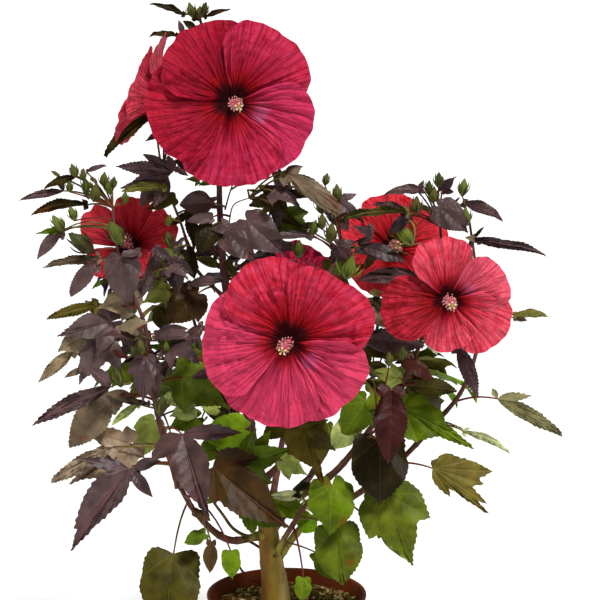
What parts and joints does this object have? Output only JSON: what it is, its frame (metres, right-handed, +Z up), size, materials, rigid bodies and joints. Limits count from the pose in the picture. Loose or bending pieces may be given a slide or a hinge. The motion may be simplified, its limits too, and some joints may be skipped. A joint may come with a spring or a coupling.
{
  "type": "potted hibiscus shrub",
  "caption": "Flowering hibiscus shrub in a round nursery pot, with dark lobed leaves, green buds and very large crimson blooms on upright branching stems.",
  "frame": {"origin": "centre of the pot's flat underside", "axes": "+Z up along the pot's axis, -Y towards the front of the plant, +X to the viewer's right"},
  "size_m": [0.628, 0.3927, 0.8605],
  "materials": {
    "pot_plastic": "semi-matt moulded plastic",
    "compost": "rough crumbs and wood chips",
    "bark": "smooth pale green-tan bark with nodes",
    "stem": "smooth purple-brown stem",
    "petal_crimson": "soft satin petal with radial veins",
    "petal_coral": "soft satin petal with radial veins",
    "leaf_purple": "leathery leaf with a low sheen",
    "leaf_bronze": "leathery leaf with a low sheen",
    "leaf_green": "leathery leaf with a low sheen",
    "leaf_dark": "leathery leaf with a low sheen",
    "leaf_russet": "leathery leaf with a low sheen"
  },
  "bodies": {
    "root": {"pot": "pot_plastic", "soil": "compost", "trunk": "bark", "leader": "stem", "bough_back": "stem", "bough_back_left": "stem", "bough_back_right": "stem", "bough_far_right": "stem", "bough_front_left": "stem", "bough_front_right": "stem", "bough_left": "stem", "bough_left_low": "stem", "bough_middle": "stem", "bough_right": "stem", "bough_right_high": "stem", "bough_upper_left": "stem", "bloom_back": "petal_crimson", "bloom_centre": "petal_crimson", "bloom_left": "petal_crimson", "bloom_right": "petal_coral", "bloom_right_back": "petal_crimson", "bloom_side": "petal_coral", "bloom_top": "petal_crimson", "leaves_arch": "leaf_bronze", "leaves_back": "leaf_green", "leaves_back_high": "leaf_purple", "leaves_back_left": "leaf_bronze", "leaves_back_left_high": "leaf_purple", "leaves_back_right": "leaf_green", "leaves_back_right_high": "leaf_purple", "leaves_centre_low": "leaf_dark", "leaves_far_right": "leaf_bronze", "leaves_fork": "leaf_green", "leaves_front": "leaf_russet", "leaves_inner": "leaf_green", "leaves_leader": "leaf_purple", "leaves_left_bronze": "leaf_bronze", "leaves_left_buds": "leaf_purple", "leaves_left_dark": "leaf_purple", "leaves_left_front": "leaf_purple", "leaves_left_high": "leaf_purple", "leaves_left_inner": "leaf_purple", "leaves_left_low": "leaf_purple", "leaves_left_mid": "leaf_bronze", "leaves_left_top": "leaf_purple", "leaves_low_left": "leaf_dark", "leaves_low_right": "leaf_green", "leaves_middle": "leaf_dark", "leaves_right": "leaf_green", "leaves_right_long": "leaf_bronze", "leaves_right_low": "leaf_green", "leaves_right_point": "leaf_purple", "leaves_right_side": "leaf_green", "leaves_right_top": "leaf_purple", "leaves_right_upper": "leaf_purple", "leaves_russet": "leaf_russet", "leaves_side_bloom": "leaf_dark", "leaves_top": "leaf_dark", "leaves_under_right": "leaf_purple", "leaves_upper_left": "leaf_purple"}
  },
  "joints": []
}
